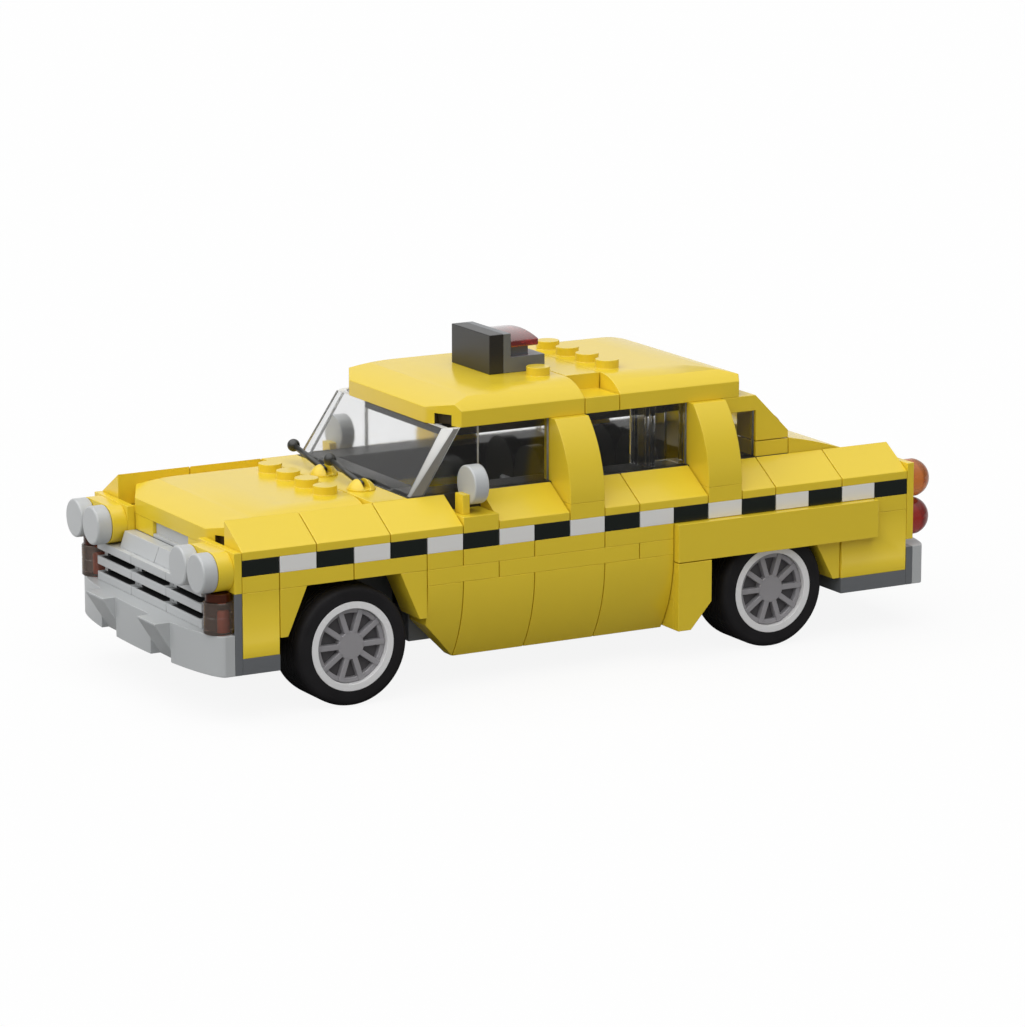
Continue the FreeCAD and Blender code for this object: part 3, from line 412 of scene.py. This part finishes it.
def torus_mesh(major, minor, around=48, across=16):
    """A ring about the z axis."""
    form = bmesh.new()
    rings = []
    for number in range(around):
        turn = 2 * math.pi * number / around
        ring = []
        for step in range(across):
            angle = 2 * math.pi * step / across
            radius = major + minor * math.cos(angle)
            spot = (radius * math.cos(turn), radius * math.sin(turn), minor * math.sin(angle))
            ring.append(form.verts.new(spot))
        rings.append(ring)
    for first, second in zip(rings, rings[1:] + rings[:1]):
        for step in range(across):
            after = (step + 1) % across
            form.faces.new((first[step], second[step], second[after], first[after]))
    bmesh.ops.recalc_face_normals(form, faces=form.faces)
    return mesh_of(form, "torus")


def rod_mesh(start, end, radius, sides=24):
    """A round rod between two places."""
    form = bmesh.new()
    way = end - start
    bmesh.ops.create_cone(
        form, cap_ends=True, segments=sides, radius1=radius, radius2=radius, depth=way.length
    )
    mesh = mesh_of(form, "rod")
    turn = way.to_track_quat("Z", "Y").to_matrix().to_4x4()
    mesh.transform(Matrix.Translation((start + end) / 2) @ turn)
    return mesh


def ball_mesh(centre, radius):
    form = bmesh.new()
    bmesh.ops.create_uvsphere(form, u_segments=32, v_segments=20, radius=radius)
    bmesh.ops.translate(form, verts=form.verts, vec=centre)
    return mesh_of(form, "ball")


# What repeats is set out by one geometry tree
def repeat_tree():
    """Copies of a piece in a row, each turned a step more than the one before, with a finish."""
    tree = bpy.data.node_groups.new("repeated_piece", "GeometryNodeTree")
    for name, kind in (
        ("Piece", "Object"),
        ("Count", "Int"),
        ("Start", "Vector"),
        ("Step", "Vector"),
        ("Turn", "Vector"),
        ("Finish", "Material"),
    ):
        tree.interface.new_socket(name, in_out="INPUT", socket_type="NodeSocket" + kind)
    geometry = "NodeSocketGeometry"
    tree.interface.new_socket("Geometry", in_out="OUTPUT", socket_type=geometry)
    given = add(tree, "NodeGroupInput", {}).outputs
    row = add(tree, "GeometryNodeMeshLine", {
        "Count": given["Count"],
        "Start Location": given["Start"],
        "Offset": given["Step"],
    })
    shape = add(tree, "GeometryNodeObjectInfo", {"Object": given["Piece"]})
    number = add(tree, "GeometryNodeInputIndex", {}).outputs["Index"]
    turned = add(tree, "ShaderNodeVectorMath", {"Vector": given["Turn"], "Scale": number}, "SCALE")
    spots = add(tree, "GeometryNodeInstanceOnPoints", {
        "Points": row.outputs["Mesh"],
        "Instance": shape.outputs["Geometry"],
        "Rotation": turned.outputs["Vector"],
    })
    real = add(tree, "GeometryNodeRealizeInstances", {"Geometry": spots.outputs["Instances"]})
    coat = add(tree, "GeometryNodeSetMaterial", {
        "Geometry": real.outputs["Geometry"],
        "Material": given["Finish"],
    })
    add(tree, "NodeGroupOutput", {"Geometry": coat.outputs["Geometry"]})
    return tree


REPEAT = repeat_tree()


def repeated(mesh, finish, count, start, step=(0, 0, 0), turn=(0, 0, 0)):
    """The mesh repeated by the tree, as one plain mesh."""
    single = placed("single", mesh)
    holder = placed("holder", bpy.data.meshes.new("holder"))
    modifier = holder.modifiers.new("repeated", "NODES")
    modifier.node_group = REPEAT
    values = {
        "Piece": single,
        "Count": count,
        "Start": start,
        "Step": step,
        "Turn": turn,
        "Finish": FINISH[finish],
    }
    for item in REPEAT.interface.items_tree:
        if item.in_out == "INPUT":
            modifier[item.identifier] = values[item.name]
    bpy.context.view_layer.update()
    graph = bpy.context.evaluated_depsgraph_get()
    result = bpy.data.meshes.new_from_object(holder.evaluated_get(graph))
    holder.modifiers.clear()
    bpy.data.objects.remove(holder)
    bpy.data.objects.remove(single)
    return smooth(result)


# Wheels: millimetres, and outlines are (radius, depth behind the tyre's outer face)
TYRE_RADIUS = 12.0
TYRE_WIDTH = 12
TREAD_FLOOR = 11.75
GROOVES = (2.6, 3.9, 5.2)
SPOKES = 10
SPOKE_HALF = 0.55
HUB = 2.8
HUB_FACE = 0.8
RING_INNER = 6.45
RING_FACE = 1.05  # the cover's ring lies a little lower than its hub and spokes
SHADE_FACE = 2.2
SHADE_RADIUS = 6.5  # the shaded disc ends just under the ring
COVER_RADIUS = 7.4
COVER_BACK = 2.6
CHAMFER = 0.12


def tyre_outline():
    """Rounded shoulders, a bead against the rim and grooves round the tread."""
    points = [(8.9, 0.4), (8.92, 0.05), (9.0, 0.0), (10.7, 0.0), (11.2, 0.07)]
    points += [(11.55, 0.3), (11.82, 0.7), (11.96, 1.2), (TYRE_RADIUS, 1.8)]
    for groove in GROOVES:
        for off, radius in (
            (-0.2, TYRE_RADIUS),
            (-0.12, TREAD_FLOOR),
            (0.12, TREAD_FLOOR),
            (0.2, TYRE_RADIUS),
        ):
            points.append((radius, groove + off))
    return points + [(radius, TYRE_WIDTH - depth) for radius, depth in reversed(points)]


def cover(node, centre, side):
    """A flat hub with spokes over a ring, and a disc behind them painted dark as shade."""
    ring = [
        (RING_INNER, SHADE_FACE),
        (RING_INNER, RING_FACE + CHAMFER),
        (RING_INNER + CHAMFER, RING_FACE),
        (COVER_RADIUS - CHAMFER, RING_FACE),
        (COVER_RADIUS, RING_FACE + CHAMFER),
        (COVER_RADIUS, COVER_BACK),
        (RING_INNER, COVER_BACK),
    ]
    hub = [
        (0, HUB_FACE),
        (HUB - CHAMFER, HUB_FACE),
        (HUB, HUB_FACE + CHAMFER),
        (HUB, SHADE_FACE),
        (0, SHADE_FACE),
    ]
    solid = joined([turned_mesh(ring, centre, side), turned_mesh(hub, centre, side)], "cover_solid")
    # A spoke starts inside the hub and ends inside the ring
    spoke = box_mesh(
        (-SPOKE_HALF * MM, -side * SHADE_FACE * MM, (HUB - 0.3) * MM),
        (SPOKE_HALF * MM, -side * HUB_FACE * MM, (COVER_RADIUS - 0.02) * MM),
    )
    # Two openings and two spokes share the upright, so the first spoke is half a step off it
    half_step = math.pi / SPOKES
    spoke.transform(Matrix.Rotation(half_step, 4, "Y"))
    spokes = repeated(spoke, "cover_grey", SPOKES, tuple(centre), turn=(0, 2 * half_step, 0))
    face = piece(node + "_spoked", joined([solid, spokes], "cover"), node, "cover_grey")
    disc = [
        (0, SHADE_FACE),
        (SHADE_RADIUS, SHADE_FACE),
        (SHADE_RADIUS, COVER_BACK),
        (0, COVER_BACK),
    ]
    back = piece(node + "_back", turned_mesh(disc, centre, side), node, "cover_shade")
    even_faces(face)
    even_faces(back)


def tyres():
    for corner in ("front_left", "front_right", "rear_left", "rear_right"):
        node = "tyre_" + corner
        low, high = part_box(node)
        side = 1 if corner.endswith("left") else -1
        face = high.y if side > 0 else low.y
        centre = Vector(((low.x + high.x) / 2, face, (low.z + high.z) / 2))
        mesh = turned_mesh(tyre_outline(), centre, side)
        even_faces(piece("tyre_rounded_" + corner, mesh, node, "tyre"))
        moulded("rim_" + corner, "rim_white", steps=3)
        cover("cover_" + corner, centre, side)


# Checked stripe
TILE = 7.8 * MM  # its length and depth


def checks():
    """Tiles in turn along both sides."""
    low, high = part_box("checks_black")
    for node, first, count, finish in (
        ("checks_black", 0, 10, "black"),
        ("checks_white", 1, 9, "white"),
    ):
        pair = [
            box_mesh((-TILE, y, low.z), (0, y + TILE, high.z), 0.1 * MM)
            for y in (high.y - TILE, low.y)
        ]
        start = (high.x - first * PITCH, 0, 0)
        mesh = repeated(joined(pair, "pair"), finish, count, start, step=(-2 * PITCH, 0, 0))
        even_faces(piece(node + "_tiles", mesh, node, finish), keep_sharp=False)


# Glass
PANE = 1.42 * MM  # the windscreen's thickness, along the car
SIDE_EDGE = 3.2 * MM  # how far its side edges reach back
SIDE_WIDE = 1.2 * MM  # and how far in at their backs
# How far the corners are cut, along and across the car, at the foot and at the head
CORNERS = ((0.3 * MM, 0.8 * MM), (1.85 * MM, 1.5 * MM))
CUT_EDGE = 1.9 * MM  # a clear wall's faces narrower than this are its cut edges


def screen_rise():
    """The way from the windscreen's foot to its head."""
    low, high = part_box("windscreen")
    return Vector((-(high.x - PANE - low.x), 0, high.z - low.z))


def clear_walls(name, mesh, node):
    """Clear walls whose cut edges carry a painted highlight."""
    piece(name, mesh, node, "clear", "clear_edge_highlight")
    for face in mesh.polygons:
        face.use_smooth = False
        ends = [[mesh.vertices[number].co for number in edge] for edge in face.edge_keys]
        longest = max((first - second).length for first, second in ends)
        if face.area < longest * CUT_EDGE:
            face.material_index = 1


def screen():
    """The windscreen's pane between two thick side edges, whose cut corners widen upwards."""
    low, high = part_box("windscreen")
    front, half = high.x, high.y
    back = front - PANE
    lifts = (ORIGIN, screen_rise())
    pane = []
    for (_, across), lift in zip(CORNERS, lifts):
        end = half - across
        spots = ((front, -end), (front, end), (back, end), (back, -end))
        pane.append([Vector((x, y, low.z)) + lift for x, y in spots])
    clear_walls("windscreen_pane", loft_mesh(*pane), "windscreen")
    # The near edge's side is painted dark grey as the shaded cabin seen through it; the far one's
    # stays clear and shows the pale room
    for side, label, inner_finish in ((1, "left", "clear_rim_shade"), (-1, "right", "clear")):
        levels = []
        for (along, across), lift in zip(CORNERS, lifts):
            spots = (
                (front, half - across),
                (front - along, half),
                (front - SIDE_EDGE, half),
                (front - SIDE_EDGE, half - SIDE_WIDE),
                (back, half - across),
            )
            levels.append([Vector((x, side * y, low.z)) + lift for x, y in spots])
        bar = loft_mesh(*levels)
        made = piece("windscreen_edge_" + label, bar, "windscreen", "clear_edge_highlight", inner_finish)
        for face in bar.polygons:
            if abs(face.normal.y) > 0.95 and (side < 0 or face.normal.y > 0):
                face.material_index = 1
        rounded(made, 0.25 * MM, 3, 15)


def side_glass():
    """The other panes; the front wings start behind the windscreen's side edges."""
    mesh = clean_copy("windows")
    form = form_of(mesh)
    low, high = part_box("windscreen")
    rise = screen_rise()
    start = Vector((high.x - SIDE_EDGE - PLAY, 0, low.z))
    cut(form, start, Vector((rise.z, 0, -rise.x)).normalized(), clear_outer=True)
    bmesh.ops.holes_fill(form, edges=[edge for edge in form.edges if edge.is_boundary])
    clear_walls("windows_clear", closed(form, mesh), "windows")


def window_brick():
    """Behind each rear side window two clear pieces meet, one of them hollow and a stud wide."""
    low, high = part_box("windows")
    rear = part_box("pillars")[0].x + PITCH
    seam = rear + PITCH
    inner = AISLE + PLAY
    outer = 3 * PITCH - 2.1 * MM
    wall = 1.2 * MM
    meshes = []
    for side in (-1, 1):
        for x_low, x_high, y_high in (
            (seam + PLAY, seam + PLAY + wall, outer),
            (seam - PLAY - wall, seam - PLAY, outer),
            (rear + wall, seam - PLAY - wall, inner + wall),
            (rear, rear + wall, outer),
        ):
            corner = (x_low, side * inner, low.z)
            meshes.append(box_mesh(corner, (x_high, side * y_high, high.z), 0.15 * MM))
    even_faces(piece("windows_inner_walls", joined(meshes, "inner_walls"), "windows", "clear"))


# Cabin
def dashboard():
    """The block under the windscreen, darkened as painted shade like the cabin, and a pale steering
    wheel on its column.
    """
    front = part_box("dashboard")[1]
    half = AISLE - PLAY
    rear = front.x - 6 * MM
    board = box_mesh((rear, -half, front.z - 3 * PLATE), (front.x, half, front.z), 0.3 * MM, 3)
    piece("dashboard_block", board, "dashboard", "cabin")
    thick = 0.6 * MM
    lean = math.radians(24)
    hub = Vector((rear - 26.6 * MM, 1.25 * PITCH, front.z - PLATE + 0.1 * MM))
    ring = torus_mesh(3.7 * MM, thick)
    ring.transform(Matrix.Translation(hub) @ Matrix.Rotation(-lean, 4, "Y"))
    reach = Vector((0, 3.6 * MM, 0))
    bar = rod_mesh(hub - reach, hub + reach, thick)
    column = rod_mesh(Vector((rear, hub.y, front.z - PLATE)), hub, thick)
    piece("steering_wheel", joined([ring, bar, column], "steering"), "dashboard", "light_grey")


# Lamps: outlines are (radius, depth below the top) in millimetres
INDICATORS = {
    "clear": ("brown_clear", [
        (0, 1.75), (2.85, 1.75), (3.0, 1.9), (3.0, 4.3), (2.92, 4.4), (2.92, 4.6), (3.0, 4.7),
        (3.0, 7.85), (2.85, 8.0), (0, 8.0),
    ]),
    "cap": ("red_cap", [(0, 0.0), (2.45, 0.0), (2.6, 0.15), (2.6, 1.6), (0, 1.6)]),
    "core": ("red_core_highlight", [(0, 3.4), (0.6, 3.4), (0.8, 3.8), (0.8, 7.8), (0, 7.8)]),
}


def indicators():
    """A see-through body with a red core, which paints the red highlight seen inside it, under a
    dark red cap.
    """
    low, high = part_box("indicators")
    radius = 3 * MM
    x = (low.x + high.x) / 2
    upright = Matrix.Rotation(math.pi / 2, 4, "X")
    for name, (finish, outline) in INDICATORS.items():
        meshes = []
        for y, side in ((low.y + radius, -1), (high.y - radius, 1)):
            mesh = turned_mesh(outline, ORIGIN, 1, 64)
            # The core sits a little back and outwards in its body
            off = Vector((-0.5, 0.3 * side, 0)) * MM if name == "core" else ORIGIN
            mesh.transform(Matrix.Translation(Vector((x, y, high.z)) + off) @ upright)
            meshes.append(mesh)
        made = piece("indicators_" + name, joined(meshes, "indicators"), "indicators", finish)
        even_faces(made)


# Bonnet and roof: the notch under a cut corner
NOTCH_DEEP = 1.5 * MM
NOTCH_HALF = 2.1 * MM
NOTCH_HIGH = 2.3 * MM


def domed(node, way=1):
    """A domed panel, with painted shade in the notches of its cut corners."""
    low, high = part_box(node)
    mesh = moulded(node).data
    mesh.materials.append(FINISH["notch"])
    front = high.x if way > 0 else low.x
    # A corner is cut from two studs off the middle to the side, 4 mm further back
    corner = Vector((-4 * MM, PITCH - PLAY, 0))
    along = corner.normalized()
    out = Vector((corner.y, -corner.x, 0)).normalized()
    # Faces inside a notch take the painted shade
    for face in mesh.polygons:
        spot = Vector(((face.center.x - front) * way, abs(face.center.y) - AISLE, 0))
        behind = -NOTCH_DEEP < spot.dot(out) < -0.1 * MM
        between = abs((spot - corner / 2).dot(along)) < NOTCH_HALF
        under = low.z + 0.05 * MM < face.center.z < low.z + NOTCH_HIGH
        if behind and between and under:
            face.material_index = 1


# Sides
def column_backs():
    """The foot of the column ahead of each rear wheel, as thick as the door's curve is deep."""
    low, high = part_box("rear_panels")
    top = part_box("lower_corners")[0].z
    front = high.x
    rear = front - PITCH + 2 * PLAY
    toe = rear + 4.8 * MM
    heel = low.z + 5.4 * MM
    outline = [(front, top), (front, low.z), (toe, low.z), (rear, heel), (rear, top)]
    outer = high.y - 2 * MM
    inner = outer - 5.1 * MM
    meshes = []
    for side in (1, -1):
        levels = [[(x, side * y, z) for x, z in outline] for y in (outer, inner)]
        meshes.append(loft_mesh(*levels))
    rounded(piece("rear_panels_backs", joined(meshes, "backs"), "rear_panels", "yellow"))


# Front end and wipers
def grille():
    """The slotted tiles, with painted shade on the faces inside their slots."""
    low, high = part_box("grille")
    mesh = clean_copy("grille")
    form = form_of(mesh)
    # The faces are cut just behind the front and beside the slots' ends
    deep = high.x - 0.35 * MM
    slot_half = PITCH - 1.6 * MM
    cut(form, (deep, 0, 0), (1, 0, 0))
    for tile in (-1, 0, 1):
        for way in (-1, 1):
            cut(form, (0, tile * 2 * PITCH + way * slot_half, 0), (0, 1, 0))
    made = piece("grille_moulded", closed(form, mesh), "grille", "light_grey_lit", "slot_shade")
    rim = 0.1 * MM
    # Faces inside the slots take the painted shade
    for face in mesh.polygons:
        spot = face.center
        off = abs(spot.y - round(spot.y / (2 * PITCH)) * 2 * PITCH)
        behind = low.x + rim < spot.x < deep - 0.05 * MM
        if behind and low.z + rim < spot.z < high.z - rim and off < slot_half + 0.05 * MM:
            face.material_index = 1
    rounded(made)


def wiper_levers():
    """Thin levers with a ball at the end."""
    low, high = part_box("wiper_levers")
    thick = 0.6 * MM
    ball = 1.3 * MM
    way = Vector((0, -13.4 * MM, 2.4 * MM))
    meshes = []
    for y in (high.y - thick, high.y - thick - 2 * PITCH):
        start = Vector(((low.x + high.x) / 2, y, low.z + thick))
        end = start + way
        meshes += [ball_mesh(start, thick), ball_mesh(end, ball), rod_mesh(start, end, thick)]
    piece("wiper_levers_round", joined(meshes, "levers"), "wiper_levers", "lever")


# The room around the car
FLOOR_HALF = 3
FLOOR_GLOW = 0.9  # how much of its white is its own where it is seen straight
TO_CAMERA = (0.49, 0.87, 0)  # level, from the car to the side the photo is taken from
LAMP_WAY = Vector((0.8, 0.2, 1.7))
LAMP_STRENGTH = 2.6
LAMP_SPREAD = math.radians(100)


def looks_straight(tree, path):
    """1 for the camera's own rays and for those that only went through glass, else 0."""
    turns = reckoned(tree, "ADD", path["Diffuse Depth"], path["Glossy Depth"])
    first = reckoned(tree, "LESS_THAN", turns, 0.5)
    through = reckoned(tree, "MULTIPLY", path["Is Transmission Ray"], first)
    return reckoned(tree, "MAXIMUM", path["Is Camera Ray"], through)


def nearness(tree, place):
    """How far a place or a direction lies towards the side the photo is taken from."""
    inputs = {0: place, 1: TO_CAMERA}
    return add(tree, "ShaderNodeVectorMath", inputs, "DOT_PRODUCT").outputs["Value"]


def stage():
    """A floor that looks white and keeps the shadow; gloss shows it bright behind the car."""
    form = bmesh.new()
    bmesh.ops.create_grid(form, x_segments=1, y_segments=1, size=FLOOR_HALF)
    mesh = mesh_of(form, "floor")
    floor = placed("floor", mesh)
    material, tree, shader, place = surface("pale_floor")
    path = add(tree, "ShaderNodeLightPath", {}).outputs
    seen = looks_straight(tree, path)
    behind = spread(tree, nearness(tree, place), 0.8, 0.12, start=-0.08, end=0.03)
    unseen = blended(tree, path["Is Glossy Ray"], 0.38, behind)
    tone = blended(tree, seen, unseen, 0.85)
    give(shader, {"Base Color": tone, "Roughness": 0.9, "Specular IOR Level": 0.0})
    glow = add(tree, "ShaderNodeEmission", {})
    blend = add(tree, "ShaderNodeMixShader", {
        "Fac": reckoned(tree, "MULTIPLY", seen, FLOOR_GLOW),
        1: shader.outputs["BSDF"],
        2: glow.outputs["Emission"],
    })
    give(tree.nodes["Material Output"], {"Surface": blend.outputs["Shader"]})
    mesh.materials.append(material)


def lights():
    """A white room that gloss shows bright behind the car and high up, and one soft lamp."""
    world = bpy.data.worlds.new("pale_room")
    world.use_nodes = True
    scene.world = world
    tree = world.node_tree
    path = add(tree, "ShaderNodeLightPath", {}).outputs
    place = add(tree, "ShaderNodeTexCoord", {}).outputs["Generated"]
    height = add(tree, "ShaderNodeSeparateXYZ", {"Vector": place}).outputs["Z"]
    behind = spread(tree, nearness(tree, place), 0.78, 0.28, start=-0.95, end=-0.35)
    above = spread(tree, height, 0.28, 1, start=0.4, end=0.8)
    brighter = reckoned(tree, "MAXIMUM", behind, above)
    unseen = blended(tree, path["Is Glossy Ray"], 0.35, brighter)
    strength = blended(tree, looks_straight(tree, path), unseen, 1)
    give(tree.nodes["Background"], {"Color": (1, 1, 1, 1), "Strength": strength})
    data = bpy.data.lights.new("front_light", "SUN")
    data.energy = LAMP_STRENGTH
    data.angle = LAMP_SPREAD
    aimed(placed("front_light", data), -LAMP_WAY)


PLAIN = (
    "base_plate",
    "axle_carriers",
    "door_panels",
    "sill_plates",
    "lower_corners",
    "arch_wedges",
    "belt_plates",
    "rear_panels",
    "upper_plates",
    "fender_slopes",
    "cowl",
    "boot_lid",
    "pillars",
    "rear_quarters",
    "bumper_brackets",
    "lamp_brackets",
    "lamp_housings",
    "roof_middle",
    "front_wall",
    "tail_block",
    "front_bumper",
    "rear_bumper",
    "sign_bracket",
    "mirror_holders",
    "wiper_bases",
)
photo_camera()
scene.view_settings.view_transform = "Standard"
tyres()
checks()
screen()
side_glass()
window_brick()
dashboard()
indicators()
column_backs()
grille()
wiper_levers()
for node in PLAIN:
    moulded(node)
domed("bonnet")
domed("roof_front")
domed("roof_rear", -1)
# The grey parts at the front take the paler copy of light grey, as painted light
moulded("grille_trim", "light_grey_lit")
moulded("headlamps", "light_grey_lit", 0.45 * MM, 4)
moulded("mirrors", "light_grey_lit", 0.4 * MM, 4)
moulded("sign", "sign", 0.15 * MM, 3)
moulded("sign_lamp", "red_gloss", 0.3 * MM, 3)
# The cabin's parts are dark grey, darkened further as painted shade
for node in ("cabin_walls", "cabin_sills", "seats", "roof_liner"):
    moulded(node, "cabin")
moulded("tail_lamps_upper", "orange_clear", 0.15 * MM)
moulded("tail_lamps_lower", "red_clear", 0.15 * MM)
stage()
lights()
